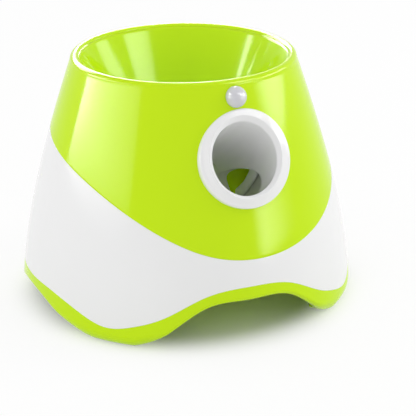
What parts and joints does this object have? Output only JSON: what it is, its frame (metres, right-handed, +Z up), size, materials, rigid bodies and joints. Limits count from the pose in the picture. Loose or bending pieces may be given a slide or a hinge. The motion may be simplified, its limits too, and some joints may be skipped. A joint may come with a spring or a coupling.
{
  "type": "automatic dog ball launcher",
  "caption": "Dog toy that drops a small ball from its hopper into a tube, and throws it out of the ring in front with a spring-driven striker cocked by a motor.",
  "frame": {"origin": "centre of the base, at the surface the feet stand on", "axes": "+Z up; -Y is the front, where the balls come out; +X is to the right seen from behind the front looking along +Y"},
  "size_m": [0.2754, 0.2713, 0.205],
  "materials": {
    "green_shell": "glossy lime green",
    "white_shell": "glossy white",
    "grey_nylon": "satin off-white gear plastic",
    "dark_plastic": "matte dark grey",
    "rubber": "matte black rubber",
    "steel": "plain steel",
    "zinc": "bright zinc",
    "brass": "brass",
    "pcb": "green solder mask",
    "lens": "milky translucent",
    "led": "clear",
    "cell_wrap": "plain dark battery sleeve"
  },
  "bodies": {
    "housing": {"upper_shell": "green_shell", "lower_shell": "white_shell", "base_skirt": "green_shell", "base_deck": "green_shell", "rubber_feet": "rubber", "hopper_bowl": "green_shell", "feed_chute": "green_shell", "side_pocket": "green_shell", "launch_tube": "white_shell", "tube_end_cap": "grey_nylon", "outlet_ring": "white_shell", "drive_spring": "steel", "gearbox_plate_left": "steel", "gearbox_plate_right": "steel", "gearbox_posts": "steel", "gearbox_screws": "zinc", "gear_axles": "steel", "motor": "zinc", "battery_cells": "cell_wrap", "battery_contacts": "zinc", "battery_door": "green_shell", "case_screws": "zinc", "sensor_lens": "lens", "sensor_element": "zinc", "sensor_board": "pcb", "control_panel": "dark_plastic", "led_lenses": "led", "switch_board": "pcb", "dc_jack": "dark_plastic", "main_board": "pcb", "board_parts": "dark_plastic", "buzzer": "dark_plastic"},
    "striker": {"striker": "grey_nylon", "striker_pad": "rubber"},
    "drive_gear": {"sector_gear": "grey_nylon"},
    "idler": {"idler_gear": "grey_nylon"},
    "motor_rotor": {"motor_pinion": "brass", "motor_shaft": "steel"},
    "power_button": {"power_button": "grey_nylon"},
    "distance_button": {"distance_button": "grey_nylon"}
  },
  "joints": [
    {"name": "drive_gear_turn", "type": "hinge", "parent": "housing", "child": "drive_gear", "pos_m": [0, 0.03864, 0.08589], "axis": [1, 0, 0], "range_deg": [0, 107.43]},
    {"name": "striker_slide", "type": "slide", "parent": "housing", "child": "striker", "axis": [0, 0.766, -0.6428], "range_m": [0, 0.03001], "stiffness_N_per_m": 300, "springref_m": -0.01, "deforming": ["drive_spring"]},
    {"name": "idler_turn", "type": "hinge", "parent": "housing", "child": "idler", "pos_m": [0, 0.05969, 0.09355], "axis": [1, 0, 0], "range_deg": [-394.01, 0]},
    {"name": "motor_turn", "type": "hinge", "parent": "housing", "child": "motor_rotor", "pos_m": [0, 0.07255, 0.07823], "axis": [1, 0, 0], "range_deg": [0, 1575.73]},
    {"name": "power_button_press", "type": "slide", "parent": "housing", "child": "power_button", "axis": [0, -0.9693, -0.2461], "range_m": [0, 0.0015], "stiffness_N_per_m": 400, "springref_m": -0.001},
    {"name": "distance_button_press", "type": "slide", "parent": "housing", "child": "distance_button", "axis": [0, -0.9693, -0.2461], "range_m": [0, 0.0015], "stiffness_N_per_m": 400, "springref_m": -0.001}
  ],
  "couplings": [
    {"joint": "striker_slide", "follows": "drive_gear_turn", "m_per_rad": 0.016},
    {"joint": "idler_turn", "follows": "drive_gear_turn", "ratio": -3.6667},
    {"joint": "motor_turn", "follows": "drive_gear_turn", "ratio": 14.667}
  ]
}
